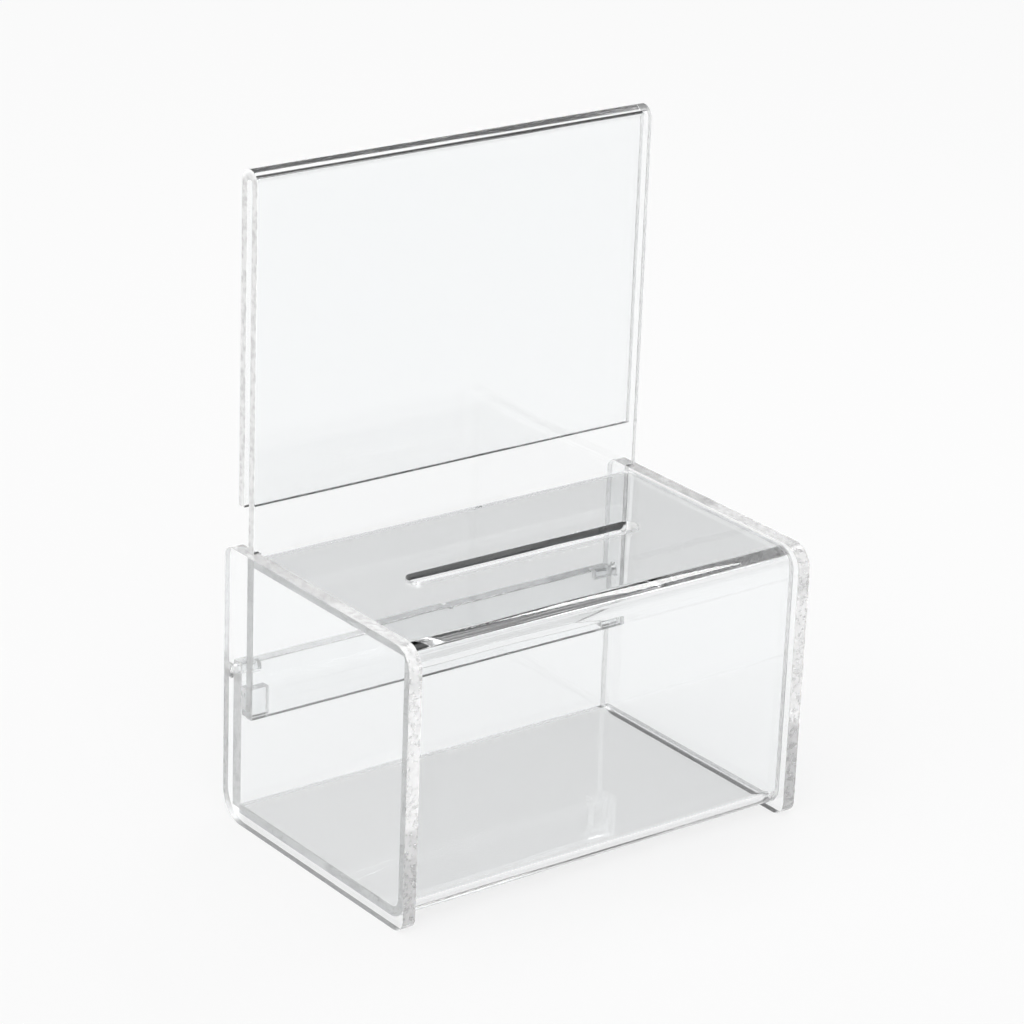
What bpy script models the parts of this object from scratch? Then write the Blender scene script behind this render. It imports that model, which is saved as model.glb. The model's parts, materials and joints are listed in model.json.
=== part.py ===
"""Clear acrylic donation box with a bent sign holder and a top-hinged rear door.

Frame: +X to the right along the width, +Y to the rear, +Z up. The origin is on the
surface the box stands on, under the middle of its footprint.
"""
import math

import bmesh
import bpy
from mathutils import Matrix, Vector

MM = 0.001

# Overall size
WIDTH = 160.0 * MM
DEPTH = 103.0 * MM
BOX_HEIGHT = 96.0 * MM
OVERALL_HEIGHT = 223.0 * MM

# Sheets: thick plates for the sides and the door, thin sheet for everything that is bent
PLATE = 4.8 * MM
SHEET = 3.2 * MM
GAP = 0.3 * MM

# Side panels: corner radii, and how far their edges stand proud of the bent shell: MARGIN at
# the front and below, TOP_MARGIN above
RADIUS_FRONT_TOP = 8.0 * MM
RADIUS_FRONT_BOTTOM = 5.0 * MM
RADIUS_REAR_BOTTOM = 10.0 * MM
RADIUS_REAR_TOP = 4.0 * MM
MARGIN = 2.5 * MM
TOP_MARGIN = 0.9 * MM

# Bent shell: both bends have the same outside radius, but the upper one is sharper inside
SHELL_BEND_OUTSIDE = 7.2 * MM
SHELL_TOP_BEND_INSIDE = 1.5 * MM
SHELL_BOTTOM_BEND_INSIDE = 4.0 * MM
SLOT_LENGTH = 92.5 * MM
SLOT_WIDTH = 7.5 * MM
SLOT_Y = -2.4 * MM

# Sign holder: one sheet folded back on itself, notched below to go down between the side panels
SIGN_WIDTH = 155.6 * MM
SIGN_FRONT_Y = 38.2 * MM
SIGN_POCKET = 2.5 * MM
SIGN_BOTTOM_Z = 38.0 * MM
FLAP_BOTTOM_Z = 110.5 * MM

# Rear door and its two pins
HINGE_Y = 47.7 * MM
HINGE_Z = 53.3 * MM
DOOR_BOTTOM_Z = 3.3 * MM
DOOR_TOP_ROUND = 0.8 * MM
DOOR_SIDE_CLEARANCE = 0.8 * MM
DOOR_FLOOR_CLEARANCE = 0.6 * MM
PIN_RADIUS = 1.5 * MM
PIN_HOLE_RADIUS = PIN_RADIUS + GAP
PIN_HOLE_DEPTH = 7.0 * MM
PIN_CHAMFER = 0.3 * MM
COUNTERSINK_RADIUS = 2.7 * MM

# Door stops
STOP_WIDTH = 8.0 * MM
STOP_HEIGHT = 10.0 * MM

# Fineness of the round stretches
CORNER_STEPS = 10
BEND_STEPS = 12
ROUND_STEPS = 32
CUT_EXCESS = 1.0 * MM

# Places that follow from the sizes above
HALF_WIDTH = WIDTH / 2
HALF_DEPTH = DEPTH / 2
PANEL_INNER_X = HALF_WIDTH - PLATE
INNER_HALF_WIDTH = PANEL_INNER_X - GAP
SIGN_SHEET_BACK_Y = SIGN_FRONT_Y + SHEET
DOOR_FRONT_Y = HINGE_Y - PLATE / 2
DOOR_HALF_WIDTH = PANEL_INNER_X - DOOR_SIDE_CLEARANCE

ACRYLIC = (0.93, 0.95, 0.95, 1.0)
EDGE_POLISHED = 0.04
EDGE_SAWN = 0.12


def clear_scene():
    for old in list(bpy.data.objects):
        bpy.data.objects.remove(old, do_unlink=True)


def acrylic(name, roughness):
    """Clear acrylic sheet: not metallic, glossy, refractive index of PMMA."""
    material = bpy.data.materials.new(name)
    material.use_nodes = True
    shader = material.node_tree.nodes["Principled BSDF"]
    shader.inputs["Base Color"].default_value = ACRYLIC
    shader.inputs["Metallic"].default_value = 0.0
    shader.inputs["Roughness"].default_value = roughness
    shader.inputs["IOR"].default_value = 1.49
    shader.inputs["Transmission Weight"].default_value = 1.0
    return material


def arc(centre, radius, start_deg, end_deg, steps):
    """Points of a circular arc, both ends included; angles from the first axis."""
    points = []
    for i in range(steps + 1):
        angle = math.radians(start_deg + (end_deg - start_deg) * i / steps)
        points.append((centre[0] + radius * math.cos(angle), centre[1] + radius * math.sin(angle)))
    return points


def add_object(name, bm, material):
    bmesh.ops.recalc_face_normals(bm, faces=bm.faces)
    mesh = bpy.data.meshes.new(name)
    bm.to_mesh(mesh)
    bm.free()
    obj = bpy.data.objects.new(name, mesh)
    bpy.context.collection.objects.link(obj)
    if material is not None:
        mesh.materials.append(material)
        mesh.shade_smooth()
        mesh.set_sharp_from_angle(angle=math.radians(30))
    return obj


def extruded_profile(name, profile, x_from, x_to, material):
    """A solid whose outline in the YZ plane is swept along X."""
    bm = bmesh.new()
    ring = [bm.verts.new((x_from, y, z)) for y, z in profile]
    face = bm.faces.new(ring)
    swept = bmesh.ops.extrude_face_region(bm, geom=[face])
    moved = [item for item in swept["geom"] if isinstance(item, bmesh.types.BMVert)]
    bmesh.ops.translate(bm, verts=moved, vec=(x_to - x_from, 0.0, 0.0))
    return add_object(name, bm, material)


def turned(name, profile, material):
    """A solid of revolution about its own X axis from (x, radius) points that end on the axis."""
    bm = bmesh.new()
    verts = [bm.verts.new((x, 0.0, r)) for x, r in profile]
    edges = [bm.edges.new(pair) for pair in zip(verts, verts[1:])]
    bmesh.ops.spin(bm, geom=verts + edges, cent=(0, 0, 0), axis=(1, 0, 0),
                   angle=math.tau, steps=ROUND_STEPS, use_merge=True)
    bmesh.ops.remove_doubles(bm, verts=bm.verts, dist=1e-7)
    return add_object(name, bm, material)


def cut(obj, cutter):
    cutter.hide_render = True
    cutter.display_type = 'WIRE'
    boolean = obj.modifiers.new("Cut " + cutter.name, 'BOOLEAN')
    boolean.operation = 'DIFFERENCE'
    boolean.solver = 'EXACT'
    boolean.object = cutter


def build_side_panel(name, side, material):
    """A flat plate with four rounded corners and a countersunk hole for the hinge pin."""
    outline = (
        arc((HALF_DEPTH - RADIUS_REAR_BOTTOM, RADIUS_REAR_BOTTOM),
            RADIUS_REAR_BOTTOM, -90, 0, CORNER_STEPS)
        + arc((HALF_DEPTH - RADIUS_REAR_TOP, BOX_HEIGHT - RADIUS_REAR_TOP),
              RADIUS_REAR_TOP, 0, 90, CORNER_STEPS)
        + arc((-HALF_DEPTH + RADIUS_FRONT_TOP, BOX_HEIGHT - RADIUS_FRONT_TOP),
              RADIUS_FRONT_TOP, 90, 180, CORNER_STEPS)
        + arc((-HALF_DEPTH + RADIUS_FRONT_BOTTOM, RADIUS_FRONT_BOTTOM),
              RADIUS_FRONT_BOTTOM, 180, 270, CORNER_STEPS)
    )
    panel = extruded_profile(name, outline, side * HALF_WIDTH, side * PANEL_INNER_X, material)

    sink = COUNTERSINK_RADIUS - PIN_HOLE_RADIUS
    profile = [
        (side * (HALF_WIDTH + CUT_EXCESS), 0.0),
        (side * (HALF_WIDTH + CUT_EXCESS), COUNTERSINK_RADIUS + CUT_EXCESS),
        (side * (HALF_WIDTH - sink), PIN_HOLE_RADIUS),
        (side * (PANEL_INNER_X - CUT_EXCESS), PIN_HOLE_RADIUS),
        (side * (PANEL_INNER_X - CUT_EXCESS), 0.0),
    ]
    hole = turned(name + "_pin_hole_cutter", profile, None)
    hole.location = (0.0, HINGE_Y, HINGE_Z)
    cut(panel, hole)
    return panel


def build_body_shell(material):
    """One sheet bent twice: top, front and floor, with the coin slot in the top."""
    front = -HALF_DEPTH + MARGIN
    bottom = MARGIN
    top = BOX_HEIGHT - TOP_MARGIN
    top_rear = SIGN_FRONT_Y - GAP
    floor_rear = DOOR_FRONT_Y - DOOR_FLOOR_CLEARANCE
    outside = SHELL_BEND_OUTSIDE
    upper = (front + outside, top - outside)
    lower = (front + outside, bottom + outside)
    set_in = SHEET + SHELL_TOP_BEND_INSIDE
    upper_inside = (front + set_in, top - set_in)
    set_in = SHEET + SHELL_BOTTOM_BEND_INSIDE
    lower_inside = (front + set_in, bottom + set_in)

    profile = [(top_rear, top)]
    profile += arc(upper, outside, 90, 180, BEND_STEPS)
    profile += arc(lower, outside, 180, 270, BEND_STEPS)
    profile += [(floor_rear, bottom), (floor_rear, bottom + SHEET)]
    profile += arc(lower_inside, SHELL_BOTTOM_BEND_INSIDE, 270, 180, BEND_STEPS)
    profile += arc(upper_inside, SHELL_TOP_BEND_INSIDE, 180, 90, BEND_STEPS)
    profile += [(top_rear, top - SHEET)]
    shell = extruded_profile("body_shell", profile, -INNER_HALF_WIDTH, INNER_HALF_WIDTH, material)

    half_straight = (SLOT_LENGTH - SLOT_WIDTH) / 2
    radius = SLOT_WIDTH / 2
    outline = arc((half_straight, SLOT_Y), radius, -90, 90, BEND_STEPS)
    outline += arc((-half_straight, SLOT_Y), radius, 90, 270, BEND_STEPS)
    bm = bmesh.new()
    face = bm.faces.new([bm.verts.new((x, y, top - SHEET - CUT_EXCESS)) for x, y in outline])
    swept = bmesh.ops.extrude_face_region(bm, geom=[face])
    moved = [item for item in swept["geom"] if isinstance(item, bmesh.types.BMVert)]
    bmesh.ops.translate(bm, verts=moved, vec=(0.0, 0.0, SHEET + 2 * CUT_EXCESS))
    cut(shell, add_object("coin_slot_cutter", bm, None))
    return shell


def build_sign_holder(material):
    """One sheet: rear wall of the box, sign front, fold at the top, and a back flap."""
    bend_inside = SIGN_POCKET / 2
    bend_outside = bend_inside + SHEET
    centre = (SIGN_FRONT_Y + bend_outside, OVERALL_HEIGHT - bend_outside)
    back = SIGN_FRONT_Y + 2 * bend_outside

    profile = [(SIGN_FRONT_Y, SIGN_BOTTOM_Z)]
    profile += arc(centre, bend_outside, 180, 0, 2 * BEND_STEPS)
    profile += [(back, FLAP_BOTTOM_Z), (back - SHEET, FLAP_BOTTOM_Z)]
    profile += arc(centre, bend_inside, 0, 180, 2 * BEND_STEPS)
    profile += [(SIGN_SHEET_BACK_Y, SIGN_BOTTOM_Z)]
    sign = extruded_profile("sign_holder", profile, -SIGN_WIDTH / 2, SIGN_WIDTH / 2, material)

    near, far = SIGN_FRONT_Y - CUT_EXCESS, SIGN_SHEET_BACK_Y + CUT_EXCESS
    below, shoulder = SIGN_BOTTOM_Z - CUT_EXCESS, BOX_HEIGHT + GAP
    notch = [(near, below), (far, below), (far, shoulder), (near, shoulder)]
    for side, word in ((-1, "left"), (1, "right")):
        inner, outer = side * INNER_HALF_WIDTH, side * (SIGN_WIDTH / 2 + CUT_EXCESS)
        cut(sign, extruded_profile("sign_notch_cutter_" + word, notch, inner, outer, None))
    return sign


def build_rear_door(material):
    """A plate that hangs from the hinge axis; its top edge is flat, with eased corners."""
    half = PLATE / 2
    drop = DOOR_BOTTOM_Z - HINGE_Z
    straight = half - DOOR_TOP_ROUND
    profile = arc((straight, straight), DOOR_TOP_ROUND, 0, 90, CORNER_STEPS // 2)
    profile += arc((-straight, straight), DOOR_TOP_ROUND, 90, 180, CORNER_STEPS // 2)
    profile += [(-half, drop), (half, drop)]
    door = extruded_profile("rear_door", profile, -DOOR_HALF_WIDTH, DOOR_HALF_WIDTH, material)
    door.location = (0.0, HINGE_Y, HINGE_Z)

    for side in (-1, 1):
        bottom = side * (DOOR_HALF_WIDTH - PIN_HOLE_DEPTH)
        mouth = side * (DOOR_HALF_WIDTH + CUT_EXCESS)
        profile = [(mouth, 0.0), (mouth, PIN_HOLE_RADIUS), (bottom, PIN_HOLE_RADIUS), (bottom, 0.0)]
        hole = turned("door_hole_cutter_" + ("left" if side < 0 else "right"), profile, None)
        hole.location = door.location
        cut(door, hole)
    return door


def build_hinge_pin(name, side, material):
    outer = side * (HALF_WIDTH - GAP)
    inner = side * (DOOR_HALF_WIDTH - PIN_HOLE_DEPTH + GAP)
    chamfer = side * PIN_CHAMFER
    profile = [
        (outer, 0.0),
        (outer, PIN_RADIUS - PIN_CHAMFER),
        (outer - chamfer, PIN_RADIUS),
        (inner + chamfer, PIN_RADIUS),
        (inner, PIN_RADIUS - PIN_CHAMFER),
        (inner, 0.0),
    ]
    pin = turned(name, profile, material)
    pin.location = (0.0, HINGE_Y, HINGE_Z)
    return pin


def build_stop_block(name, side, material):
    """A small block behind the rear wall's lower corner that keeps the door from going in."""
    size = Vector((STOP_WIDTH, DOOR_FRONT_Y - SIGN_SHEET_BACK_Y - 2 * GAP, STOP_HEIGHT))
    centre = Vector((side * (INNER_HALF_WIDTH - STOP_WIDTH / 2),
                     (DOOR_FRONT_Y + SIGN_SHEET_BACK_Y) / 2,
                     SIGN_BOTTOM_Z + STOP_HEIGHT / 2))
    bm = bmesh.new()
    bmesh.ops.create_cube(bm, size=1.0, matrix=Matrix.Diagonal(size).to_4x4())
    block = add_object(name, bm, material)
    block.location = centre
    return block


def main():
    clear_scene()
    polished = acrylic("acrylic_polished", EDGE_POLISHED)
    sawn = acrylic("acrylic_sawn_edge", EDGE_SAWN)

    for side, word in ((-1, "left"), (1, "right")):
        build_side_panel("side_panel_" + word, side, polished)
        build_hinge_pin("hinge_pin_" + word, side, polished)
        build_stop_block("stop_block_" + word, side, sawn)
    build_body_shell(polished)
    build_sign_holder(polished)
    build_rear_door(polished)


main()
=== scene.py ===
"""Looks for the clear acrylic donation box: clear sheet, worked edges, bends and bonded joints."""
import json
import math

import bmesh
import bpy
from mathutils import Matrix, Vector


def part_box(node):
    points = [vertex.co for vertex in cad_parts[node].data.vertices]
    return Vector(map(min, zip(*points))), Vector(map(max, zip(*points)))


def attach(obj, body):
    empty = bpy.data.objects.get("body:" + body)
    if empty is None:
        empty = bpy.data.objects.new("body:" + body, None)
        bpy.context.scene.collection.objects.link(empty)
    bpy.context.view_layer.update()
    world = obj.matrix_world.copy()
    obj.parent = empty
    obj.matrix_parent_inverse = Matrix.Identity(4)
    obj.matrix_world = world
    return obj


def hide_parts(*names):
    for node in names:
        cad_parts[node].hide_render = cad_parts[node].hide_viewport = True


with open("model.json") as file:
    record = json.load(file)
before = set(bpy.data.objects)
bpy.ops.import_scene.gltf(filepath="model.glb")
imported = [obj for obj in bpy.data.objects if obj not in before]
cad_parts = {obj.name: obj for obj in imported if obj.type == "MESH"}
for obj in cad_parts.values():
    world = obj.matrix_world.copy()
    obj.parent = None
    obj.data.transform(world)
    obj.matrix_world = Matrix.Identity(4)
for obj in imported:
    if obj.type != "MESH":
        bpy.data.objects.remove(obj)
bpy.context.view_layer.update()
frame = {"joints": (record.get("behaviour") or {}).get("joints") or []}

MM = 0.001

# Camera: a long lens, to the left of the box's front and above it
CAMERA_POSITION = Vector((-0.7051, -0.9135, 0.5588))
CAMERA_AZIMUTH = -37.515
CAMERA_ELEVATION = 21.351
CAMERA_ROLL = 2.163
CAMERA_FOCAL_MM = 135.08
SENSOR_MM = 36.0

# Sheet, bends and the 0.3 mm that part.py leaves between bonded pieces
SHEET = 3.2 * MM
GAP = 0.3 * MM
SHELL_BEND_OUTSIDE = 7.2 * MM
SHELL_TOP_BEND_INSIDE = 1.5 * MM
SHELL_BOTTOM_BEND_INSIDE = 4.0 * MM
RADIUS_FRONT_TOP = 8.0 * MM
RADIUS_FRONT_BOTTOM = 5.0 * MM
RADIUS_REAR_BOTTOM = 10.0 * MM
RADIUS_REAR_TOP = 4.0 * MM
FLAP_BOTTOM_Z = 110.5 * MM
SLOT_LENGTH = 92.5 * MM
SLOT_WIDTH = 7.5 * MM
SLOT_Y = -2.4 * MM
PIN_HOLE_RADIUS = 1.8 * MM
PIN_HOLE_DEPTH = 7.0 * MM
COUNTERSINK_RADIUS = 2.7 * MM
DOOR_TOP_ROUND = 0.8 * MM
PIN_CHAMFER = 0.3 * MM
CUT_EXCESS = 1.0 * MM

# How unevenly the bends run along X: (cycles per metre, phase, share), and how far, in metres
SHELL_WAVE = ((5.1, 0.4, 0.5), (12.7, 1.9, 0.3), (23.0, 4.0, 0.2))
SIGN_WAVE = ((4.3, 2.2, 0.5), (11.0, 0.3, 0.3), (19.0, 5.1, 0.2))
WAVE_OFFSET = 0.03
SHELL_OUTSIDE_WAVE = 0.35 * MM
SHELL_TOP_INSIDE_WAVE = 0.2 * MM
SHELL_BOTTOM_INSIDE_WAVE = 0.12 * MM
SIGN_INSIDE_WAVE = 0.15 * MM

# Stage and light
FLOOR_HALF = 3.0
FLOOR_ALBEDO = 0.09
FLOOR_GLOW = 0.80
KEY_CENTRE = Vector((0.455, 0.20, 0.68))
KEY_TARGET = Vector((0.0, 0.0, 0.05))
KEY_ALONG = Vector((0.15, -0.396, 0.16))
KEY_SIZE = (0.62, 0.07)
KEY_RADIANCE = 12.0
LIGHT_BOUNCES = 31
SWEEP_STOPS = ((0.0, 0.96), (0.12, 0.96), (0.21, 0.0))
ROOM_STOPS = ((0.16, 0.0), (0.27, 0.05), (0.42, 0.07), (0.75, 0.45))
DARK_SIDE = (0.94, 0.20, 0.28)
DARK_STOPS = ((0.3, 1.0), (0.75, 0.0))
SOFTBOX_STOPS = ((0.78, 0.0), (0.86, 1.0))
SOFTBOX_STRENGTH = 2.4
FILL_SIDE = (-0.80, -0.45, 0.40)
FILL_STOPS = ((0.45, 0.0), (0.80, 1.0))
FILL_STRENGTH = 2.4
HORIZON_STOPS = ((0.0, 0.0), (0.12, 1.0))

# Fineness
STATIONS = 72
BEND_STEPS = 28
CORNER_STEPS = 20
HOLE_STEPS = 64
EDGE_BREAK = 0.25 * MM
SHEET_EDGE_BREAK = 0.1 * MM
PIN_EDGE_BREAK = 0.1 * MM
BLOCK_EDGE_BREAK = 0.3 * MM

# Material
ACRYLIC_TINT = (0.985, 0.992, 0.995, 1.0)
ACRYLIC_IOR = 1.49
BUBBLE_SCALE = 1100.0
JOINT_TRANSMISSION = 0.62
JOINT_CLEARANCE = 0.02 * MM
JOINT_SETBACK = 0.08 * MM

HINGE = Vector(frame["joints"][0]["pos_m"])


# ---------------------------------------------------------------- mesh helpers

def arc(centre, radius, start_deg, end_deg, steps):
    points = []
    for i in range(steps + 1):
        angle = math.radians(start_deg + (end_deg - start_deg) * i / steps)
        points.append((centre[0] + radius * math.cos(angle), centre[1] + radius * math.sin(angle)))
    return points


def to_object(name, bm):
    bmesh.ops.recalc_face_normals(bm, faces=bm.faces)
    mesh = bpy.data.meshes.new(name)
    bm.to_mesh(mesh)
    bm.free()
    obj = bpy.data.objects.new(name, mesh)
    bpy.context.scene.collection.objects.link(obj)
    return obj


def swept(name, rings):
    """A solid through a list of closed rings of points with equal counts, flat at both ends."""
    bm = bmesh.new()
    loops = [[bm.verts.new(point) for point in ring] for ring in rings]
    count = len(loops[0])
    for near, far in zip(loops, loops[1:]):
        for i in range(count):
            j = (i + 1) % count
            bm.faces.new((near[i], near[j], far[j], far[i]))
    bm.faces.new(loops[0])
    bm.faces.new(loops[-1])
    return to_object(name, bm)


def turned(name, profile, centre):
    """A solid of revolution about an axis along X through centre."""
    bm = bmesh.new()
    verts = [bm.verts.new((x, centre[1], centre[2] + r)) for x, r in profile]
    edges = [bm.edges.new(pair) for pair in zip(verts, verts[1:])]
    bmesh.ops.spin(bm, geom=verts + edges, cent=centre, axis=(1, 0, 0),
                   angle=math.tau, steps=HOLE_STEPS, use_merge=True)
    bmesh.ops.remove_doubles(bm, verts=bm.verts, dist=1e-7)
    return to_object(name, bm)


def apply_modifiers(obj):
    depsgraph = bpy.context.evaluated_depsgraph_get()
    mesh = bpy.data.meshes.new_from_object(obj.evaluated_get(depsgraph))
    obj.modifiers.clear()
    old = obj.data
    obj.data = mesh
    bpy.data.meshes.remove(old)


def cut(obj, *cutters):
    for cutter in cutters:
        boolean = obj.modifiers.new("Cut", 'BOOLEAN')
        boolean.operation = 'DIFFERENCE'
        boolean.solver = 'EXACT'
        boolean.object = cutter
    apply_modifiers(obj)
    for cutter in cutters:
        bpy.data.objects.remove(cutter, do_unlink=True)


def break_edges(obj, width=EDGE_BREAK, segments=3):
    """Polished sheet has its sharp edges broken; the flats keep their own normals."""
    for polygon in obj.data.polygons:
        polygon.use_smooth = True
    bevel = obj.modifiers.new("Edge break", 'BEVEL')
    bevel.width = width
    bevel.segments = segments
    bevel.limit_method = 'ANGLE'
    bevel.angle_limit = math.radians(40)
    bevel.harden_normals = True
    bevel.use_clamp_overlap = True
    apply_modifiers(obj)


def wave(x, phases):
    """A slow, small unevenness along a bend: a sum of three sines, between about -1 and 1."""
    return sum(math.sin(math.tau * x * cycles + phase) * share for cycles, phase, share in phases)


# ---------------------------------------------------------------- the pieces

def make_side_panel(name, side):
    low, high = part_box(name)
    y0, y1, z0, z1 = low.y, high.y, low.z, high.z
    outline = (
        arc((y1 - RADIUS_REAR_BOTTOM, z0 + RADIUS_REAR_BOTTOM),
            RADIUS_REAR_BOTTOM, -90, 0, CORNER_STEPS)
        + arc((y1 - RADIUS_REAR_TOP, z1 - RADIUS_REAR_TOP),
              RADIUS_REAR_TOP, 0, 90, CORNER_STEPS)
        + arc((y0 + RADIUS_FRONT_TOP, z1 - RADIUS_FRONT_TOP),
              RADIUS_FRONT_TOP, 90, 180, CORNER_STEPS)
        + arc((y0 + RADIUS_FRONT_BOTTOM, z0 + RADIUS_FRONT_BOTTOM),
              RADIUS_FRONT_BOTTOM, 180, 270, CORNER_STEPS)
    )
    rings = [[(x, y, z) for y, z in outline] for x in (low.x, high.x)]
    panel = swept(name + "_clear", rings)
    outer, inner = (low.x, high.x) if side < 0 else (high.x, low.x)
    sink = COUNTERSINK_RADIUS - PIN_HOLE_RADIUS
    profile = [
        (outer + side * CUT_EXCESS, 0.0),
        (outer + side * CUT_EXCESS, COUNTERSINK_RADIUS + CUT_EXCESS),
        (outer - side * sink, PIN_HOLE_RADIUS),
        (inner - side * CUT_EXCESS, PIN_HOLE_RADIUS),
        (inner - side * CUT_EXCESS, 0.0),
    ]
    cut(panel, turned("hole", profile, HINGE))
    break_edges(panel)
    return panel


def make_body_shell():
    low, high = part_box("body_shell")
    sign_low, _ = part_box("sign_holder")
    top_rear = sign_low.y - GAP
    front, floor_rear, bottom, top = low.y, high.y, low.z, high.z
    rings = []
    for i in range(STATIONS + 1):
        x = low.x + (high.x - low.x) * i / STATIONS
        outside = SHELL_BEND_OUTSIDE + SHELL_OUTSIDE_WAVE * wave(x, SHELL_WAVE)
        unevenness = wave(x + WAVE_OFFSET, SIGN_WAVE)
        top_inside = SHELL_TOP_BEND_INSIDE + SHELL_TOP_INSIDE_WAVE * unevenness
        inside = SHELL_BOTTOM_BEND_INSIDE + SHELL_BOTTOM_INSIDE_WAVE * unevenness
        upper = (front + outside, top - outside)
        lower = (front + outside, bottom + outside)
        upper_in = (front + SHEET + top_inside, top - SHEET - top_inside)
        lower_in = (front + SHEET + inside, bottom + SHEET + inside)
        profile = [(top_rear, top)]
        profile += arc(upper, outside, 90, 180, BEND_STEPS)
        profile += arc(lower, outside, 180, 270, BEND_STEPS)
        profile += [(floor_rear, bottom), (floor_rear, bottom + SHEET)]
        profile += arc(lower_in, inside, 270, 180, BEND_STEPS)
        profile += arc(upper_in, top_inside, 180, 90, BEND_STEPS)
        profile += [(top_rear, top - SHEET)]
        rings.append([(x, y, z) for y, z in profile])
    shell = swept("body_shell_clear", rings)

    radius = SLOT_WIDTH / 2
    straight = SLOT_LENGTH / 2 - radius
    outline = arc((straight, SLOT_Y), radius, -90, 90, CORNER_STEPS)
    outline += arc((-straight, SLOT_Y), radius, 90, 270, CORNER_STEPS)
    heights = (top - 2 * SHEET, top + SHEET)
    cut(shell, swept("slot", [[(x, y, z) for x, y in outline] for z in heights]))
    break_edges(shell, SHEET_EDGE_BREAK)
    return shell


def joint_span(side):
    """The X stretch between a bent sheet's end and the side panel's inner face."""
    if side < 0:
        start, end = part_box("side_panel_left")[1].x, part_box("body_shell")[0].x
    else:
        start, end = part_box("body_shell")[1].x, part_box("side_panel_right")[0].x
    return start + JOINT_CLEARANCE, end - JOINT_CLEARANCE


def make_shell_joint(name, side):
    low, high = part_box("body_shell")
    top_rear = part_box("sign_holder")[0].y - GAP
    back = JOINT_SETBACK
    front, bottom, top = low.y + back, low.z + back, high.z - back
    thick = SHEET - 2 * back
    outside = SHELL_BEND_OUTSIDE - back
    upper, lower = (front + outside, top - outside), (front + outside, bottom + outside)
    top_in, low_in = SHELL_TOP_BEND_INSIDE + back, SHELL_BOTTOM_BEND_INSIDE + back
    profile = [(top_rear - back, top)]
    profile += arc(upper, outside, 90, 180, BEND_STEPS)
    profile += arc(lower, outside, 180, 270, BEND_STEPS)
    profile += [(high.y - back, bottom), (high.y - back, bottom + thick)]
    profile += arc((front + thick + low_in, bottom + thick + low_in), low_in, 270, 180, BEND_STEPS)
    profile += arc((front + thick + top_in, top - thick - top_in), top_in, 180, 90, BEND_STEPS)
    profile += [(top_rear - back, top - thick)]
    return swept(name, [[(x, y, z) for y, z in profile] for x in joint_span(side)])


def make_sign_joint(name, side):
    low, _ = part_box("sign_holder")
    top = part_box("side_panel_left")[1].z
    back = JOINT_SETBACK
    y0, y1 = low.y + back, low.y + SHEET - back
    z0, z1 = low.z + back, top - back
    outline = [(y0, z0), (y1, z0), (y1, z1), (y0, z1)]
    return swept(name, [[(x, y, z) for y, z in outline] for x in joint_span(side)])


def make_sign_holder():
    """One folded sheet, notched at both ends below so that it goes down between the side panels."""
    low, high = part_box("sign_holder")
    outside = (high.y - low.y) / 2
    rings = []
    for i in range(STATIONS + 1):
        x = low.x + (high.x - low.x) * i / STATIONS
        inside = outside - SHEET + SIGN_INSIDE_WAVE * wave(x, SIGN_WAVE)
        centre = (low.y + outside, high.z - outside)
        inner_centre = (low.y + outside, high.z - SHEET - inside)
        profile = [(low.y, low.z)]
        profile += arc(centre, outside, 180, 0, 2 * BEND_STEPS)
        profile += [(high.y, FLAP_BOTTOM_Z), (high.y - SHEET, FLAP_BOTTOM_Z)]
        profile += arc(inner_centre, inside, 0, 180, 2 * BEND_STEPS)
        profile += [(low.y + SHEET, low.z)]
        rings.append([(x, y, z) for y, z in profile])
    sign = swept("sign_holder_clear", rings)
    shell_low, shell_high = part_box("body_shell")
    y0, y1 = low.y - CUT_EXCESS, low.y + SHEET + CUT_EXCESS
    z0, z1 = low.z - CUT_EXCESS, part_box("side_panel_left")[1].z + GAP
    notch = [(y0, z0), (y1, z0), (y1, z1), (y0, z1)]
    spans = ((low.x - CUT_EXCESS, shell_low.x), (shell_high.x, high.x + CUT_EXCESS))
    cut(sign, *(swept("notch", [[(x, y, z) for y, z in notch] for x in span]) for span in spans))
    break_edges(sign)
    return sign


def make_rear_door():
    low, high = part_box("rear_door")
    round_top = DOOR_TOP_ROUND
    outline = arc((high.y - round_top, high.z - round_top), round_top, 0, 90, CORNER_STEPS)
    outline += arc((low.y + round_top, high.z - round_top), round_top, 90, 180, CORNER_STEPS)
    outline += [(low.y, low.z), (high.y, low.z)]
    door = swept("rear_door_clear", [[(x, y, z) for y, z in outline] for x in (low.x, high.x)])
    holes = []
    for side, end in ((-1, low.x), (1, high.x)):
        bottom = end - side * PIN_HOLE_DEPTH
        mouth = end + side * CUT_EXCESS
        profile = [(mouth, 0.0), (mouth, PIN_HOLE_RADIUS), (bottom, PIN_HOLE_RADIUS), (bottom, 0.0)]
        holes.append(turned("hole", profile, HINGE))
    cut(door, *holes)
    break_edges(door)
    return door


def make_pin(name):
    low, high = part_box(name)
    radius = (high.z - low.z) / 2
    profile = [
        (low.x, 0.0), (low.x, radius - PIN_CHAMFER), (low.x + PIN_CHAMFER, radius),
        (high.x - PIN_CHAMFER, radius), (high.x, radius - PIN_CHAMFER), (high.x, 0.0),
    ]
    pin = turned(name + "_clear", profile, (low + high) / 2)
    break_edges(pin, PIN_EDGE_BREAK, 2)
    return pin


def make_block(name):
    low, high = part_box(name)
    outline = [(low.y, low.z), (high.y, low.z), (high.y, high.z), (low.y, high.z)]
    block = swept(name + "_clear", [[(x, y, z) for y, z in outline] for x in (low.x, high.x)])
    break_edges(block, BLOCK_EDGE_BREAK)
    return block


# ---------------------------------------------------------------- materials

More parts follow.
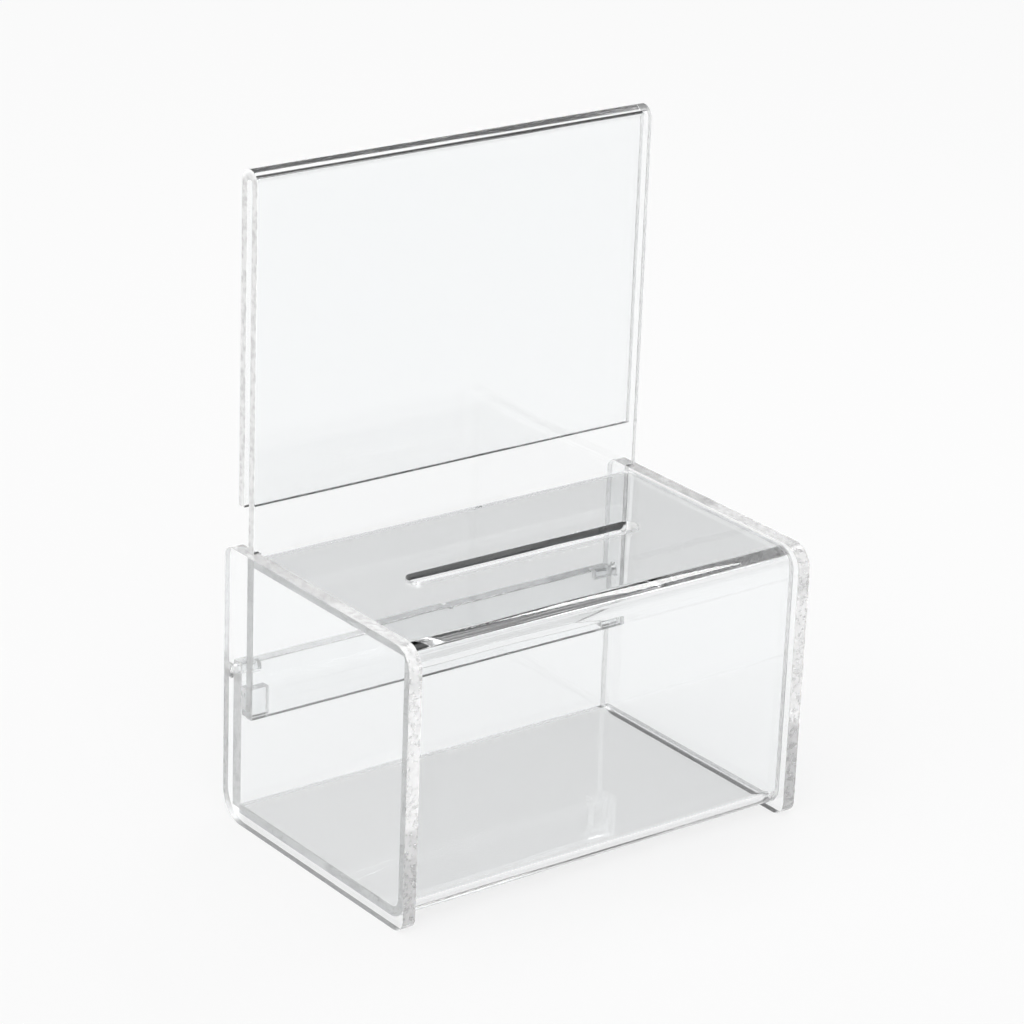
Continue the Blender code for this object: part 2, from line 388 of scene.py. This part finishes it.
class Nodes:
    """A few node-building shorthands for one node tree."""

    def __init__(self, tree):
        self.tree = tree

    def add(self, kind, inputs=(), **settings):
        node = self.tree.nodes.new(kind)
        for name, value in settings.items():
            setattr(node, name, value)
        for key, value in dict(inputs).items():
            if isinstance(value, bpy.types.NodeSocket):
                self.tree.links.new(value, node.inputs[key])
            else:
                node.inputs[key].default_value = value
        return node

    def math(self, operation, a, b):
        return self.add("ShaderNodeMath", {0: a, 1: b}, operation=operation).outputs[0]

    def ramp(self, source, stops, ease='LINEAR'):
        node = self.add("ShaderNodeValToRGB", {0: source})
        node.color_ramp.interpolation = ease
        elements = node.color_ramp.elements
        while len(elements) < len(stops):
            elements.new(1.0)
        for element, (position, value) in zip(elements, stops):
            element.position = position
            element.color = (value, value, value, 1.0)
        return node.outputs[0]

    def noise(self, coords, scale, detail):
        inputs = {"Vector": coords, "Scale": scale, "Detail": detail}
        return self.add("ShaderNodeTexNoise", inputs).outputs[0]

    def dot(self, direction, vector):
        inputs = {0: direction, 1: vector}
        return self.add("ShaderNodeVectorMath", inputs, operation='DOT_PRODUCT').outputs["Value"]

    def bump(self, height, shader):
        """Feed a height in metres to the shader's normal."""
        node = self.add("ShaderNodeBump", {"Height": height, "Strength": 1.0, "Distance": 1.0})
        self.tree.links.new(node.outputs[0], shader.inputs["Normal"])


def clear_shader(name):
    material = bpy.data.materials.new(name)
    material.use_nodes = True
    nodes = Nodes(material.node_tree)
    shader = material.node_tree.nodes["Principled BSDF"]
    shader.inputs["Base Color"].default_value = ACRYLIC_TINT
    shader.inputs["IOR"].default_value = ACRYLIC_IOR
    shader.inputs["Transmission Weight"].default_value = 1.0
    coords = nodes.add("ShaderNodeTexCoord")
    return material, nodes, shader, coords


def acrylic(name, face_wave=0.00015, scatter=0.0):
    """Clear cast acrylic: glossy, with a faint roll in its faces and light, patchy handling haze.

    scatter: the small share of light that it scatters, which lights up the long paths inside it.
    """
    material, nodes, shader, coords = clear_shader(name)
    shader.inputs["Transmission Weight"].default_value = 1.0 - scatter
    place = coords.outputs["Object"]
    haze = nodes.ramp(nodes.noise(place, 35.0, 3.0), ((0.62, 0.0), (0.80, 0.03)), 'EASE')
    nodes.tree.links.new(haze, shader.inputs["Roughness"])
    roll = nodes.math('MULTIPLY', nodes.noise(place, 22.0, 1.0), face_wave)
    nodes.bump(roll, shader)
    return material


def machined(name, dullness, whiteness):
    """A cut edge: partly cleared by polishing, partly still white with fine saw marks across it."""
    material, nodes, shader, coords = clear_shader(name)
    place = coords.outputs["Object"]
    shader.inputs["Transmission Weight"].default_value = 1.0 - whiteness
    patches = nodes.noise(place, 260.0, 3.0)
    saw = nodes.noise(place, 2000.0, 2.0)
    rough = nodes.math('MULTIPLY', nodes.ramp(patches, ((0.40, 0.4), (0.60, 1.0))), dullness)
    nodes.tree.links.new(rough, shader.inputs["Roughness"])
    nodes.bump(nodes.math('MULTIPLY', saw, 0.00003), shader)
    tone = nodes.ramp(nodes.noise(place, 520.0, 3.0), ((0.36, 0.76), (0.56, 1.0)))
    nodes.tree.links.new(tone, shader.inputs["Base Color"])
    return material


def bonded(name):
    """The solvent joint: clear where it wetted, hazy and full of fine bubbles where it didn't."""
    material, nodes, shader, coords = clear_shader(name)
    place = coords.outputs["Object"]
    shader.inputs["Transmission Weight"].default_value = JOINT_TRANSMISSION
    voronoi = nodes.add("ShaderNodeTexVoronoi", {"Vector": place, "Scale": BUBBLE_SCALE})
    bubbles = voronoi.outputs["Distance"]
    crowd = nodes.ramp(nodes.noise(place, 110.0, 3.0), ((0.38, 0.0), (0.54, 1.0)))
    dome = nodes.ramp(bubbles, ((0.0, 1.0), (0.55, 0.0)), 'EASE')
    height = nodes.math('MULTIPLY', nodes.math('MULTIPLY', dome, crowd), 0.0005)
    nodes.bump(height, shader)
    nodes.tree.links.new(nodes.math('MULTIPLY', crowd, 0.22), shader.inputs["Roughness"])
    return material


def mark_edges(obj, along_x):
    """Give the second material to the cut edges: a sheet's X-facing ends, a plate's other faces."""
    for polygon in obj.data.polygons:
        facing_x = abs(polygon.normal.x)
        polygon.material_index = int(facing_x > 0.6 if along_x else facing_x < 0.4)


def finish_piece(obj, body, replaced, material, edge=None, along_x=True):
    obj.data.materials.clear()
    obj.data.materials.append(material)
    if edge is not None:
        obj.data.materials.append(edge)
        mark_edges(obj, along_x)
    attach(obj, body)
    for node in replaced:
        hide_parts(node)
    return obj


clear = acrylic("acrylic_clear")
hazy = acrylic("acrylic_clear_hazy", scatter=0.02)
small = acrylic("acrylic_clear_small", 0.0, 0.03)
plate_edge = machined("acrylic_plate_edge", 0.13, 0.28)
sheet_edge = machined("acrylic_sheet_edge", 0.18, 0.46)
sawn = machined("acrylic_sawn", 0.35, 0.40)
joint = bonded("bonded_joint")
for side, word in ((-1, "left"), (1, "right")):
    panel, pin, block = "side_panel_" + word, "hinge_pin_" + word, "stop_block_" + word
    finish_piece(make_side_panel(panel, side), "box", [panel], hazy, plate_edge,
                 along_x=False)
    finish_piece(make_pin(pin), "box", [pin], small, sawn)
    finish_piece(make_block(block), "box", [block], small, sawn)
    for name, make_joint in (("shell_joint_", make_shell_joint), ("sign_joint_", make_sign_joint)):
        finish_piece(make_joint(name + word, side), "box", [], joint)
finish_piece(make_body_shell(), "box", ["body_shell"], clear, sheet_edge)
sign = finish_piece(make_sign_holder(), "box", ["sign_holder"], hazy, sheet_edge)
finish_piece(make_rear_door(), "door", ["rear_door"], hazy, sheet_edge)


# ---------------------------------------------------------------- stage, light, camera

def make_floor():
    """A pale, glowing floor, as on a light table, so that the box hardly throws a shadow."""
    bm = bmesh.new()
    bmesh.ops.create_grid(bm, x_segments=1, y_segments=1, size=FLOOR_HALF)
    bmesh.ops.translate(bm, verts=bm.verts, vec=(0, 0, -0.1 * MM))
    floor = to_object("floor", bm)
    material = bpy.data.materials.new("floor")
    material.use_nodes = True
    shader = material.node_tree.nodes["Principled BSDF"]
    shader.inputs["Base Color"].default_value = (*[FLOOR_ALBEDO] * 3, 1.0)
    shader.inputs["Roughness"].default_value = 0.9
    shader.inputs["Specular IOR Level"].default_value = 0.0
    shader.inputs["Emission Color"].default_value = (1.0, 1.0, 1.0, 1.0)
    shader.inputs["Emission Strength"].default_value = FLOOR_GLOW
    floor.data.materials.append(material)


def make_world():
    """A white sweep to just above the horizon, a dim room, darkest to the right, two softboxes.

    One softbox is overhead; the other, the fill, is in front on the left, where the flat faces
    never mirror it into the camera but the cut edges catch it.
    """
    world = bpy.data.worlds.new("studio")
    bpy.context.scene.world = world
    world.use_nodes = True
    nodes = Nodes(world.node_tree)
    coords = nodes.add("ShaderNodeTexCoord").outputs["Generated"]
    height = nodes.add("ShaderNodeSeparateXYZ", {0: coords}).outputs["Z"]
    dark = nodes.ramp(nodes.dot(coords, DARK_SIDE), DARK_STOPS, 'EASE')
    room = nodes.math('MULTIPLY', nodes.ramp(height, ROOM_STOPS, 'EASE'), dark)
    softbox = nodes.math('MULTIPLY', nodes.ramp(height, SOFTBOX_STOPS, 'EASE'), SOFTBOX_STRENGTH)
    facing = nodes.ramp(nodes.dot(coords, FILL_SIDE), FILL_STOPS, 'EASE')
    above = nodes.ramp(height, HORIZON_STOPS)
    fill = nodes.math('MULTIPLY', nodes.math('MULTIPLY', facing, above), FILL_STRENGTH)
    sweep = nodes.ramp(height, SWEEP_STOPS, 'EASE')
    total = nodes.math('ADD', nodes.math('ADD', room, sweep), softbox)
    total = nodes.math('ADD', total, fill)
    world.node_tree.links.new(total, world.node_tree.nodes["Background"].inputs["Color"])


def make_key_light():
    """A strip softbox to the right, above and a little behind: the bend reflects it as a line.

    It is flagged off the sign holder, whose fold stays dark.
    """
    data = bpy.data.lights.new("key", 'AREA')
    data.shape = 'RECTANGLE'
    data.size, data.size_y = KEY_SIZE
    data.energy = KEY_RADIANCE * math.pi * KEY_SIZE[0] * KEY_SIZE[1]
    light = bpy.data.objects.new("key", data)
    bpy.context.scene.collection.objects.link(light)
    towards = (KEY_TARGET - KEY_CENTRE).normalized()
    along = (KEY_ALONG - KEY_ALONG.dot(towards) * towards).normalized()
    across = (-towards).cross(along)
    rotation = Matrix((along, across, -towards)).transposed()
    light.matrix_world = Matrix.Translation(KEY_CENTRE) @ rotation.to_4x4()

    flagged = bpy.data.collections.new("flagged_from_key")
    flagged.objects.link(sign)
    light.light_linking.receiver_collection = flagged
    flagged.collection_objects[0].light_linking.link_state = 'EXCLUDE'


def make_camera():
    data = bpy.data.cameras.new("camera")
    data.lens = CAMERA_FOCAL_MM
    data.sensor_width = SENSOR_MM
    data.clip_start = 0.01
    camera = bpy.data.objects.new("camera", data)
    bpy.context.scene.collection.objects.link(camera)
    az, el, roll = map(math.radians, (CAMERA_AZIMUTH, CAMERA_ELEVATION, CAMERA_ROLL))
    forward = Vector((-math.sin(az) * math.cos(el), math.cos(az) * math.cos(el), -math.sin(el)))
    right = Vector((math.cos(az), math.sin(az), 0.0))
    up = right.cross(forward)
    right, up = (
        math.cos(roll) * right + math.sin(roll) * up,
        math.cos(roll) * up - math.sin(roll) * right,
    )
    rotation = Matrix((right, up, -forward)).transposed()
    camera.matrix_world = Matrix.Translation(CAMERA_POSITION) @ rotation.to_4x4()
    bpy.context.scene.camera = camera


def set_look():
    scene = bpy.context.scene
    scene.view_settings.view_transform = 'Standard'
    scene.cycles.use_denoising = True
    scene.cycles.max_bounces = LIGHT_BOUNCES
    scene.cycles.transmission_bounces = LIGHT_BOUNCES
    scene.cycles.glossy_bounces = LIGHT_BOUNCES
    scene.cycles.diffuse_bounces = 4
    scene.cycles.transparent_max_bounces = 16


make_floor()
make_world()
make_key_light()
make_camera()
set_look()
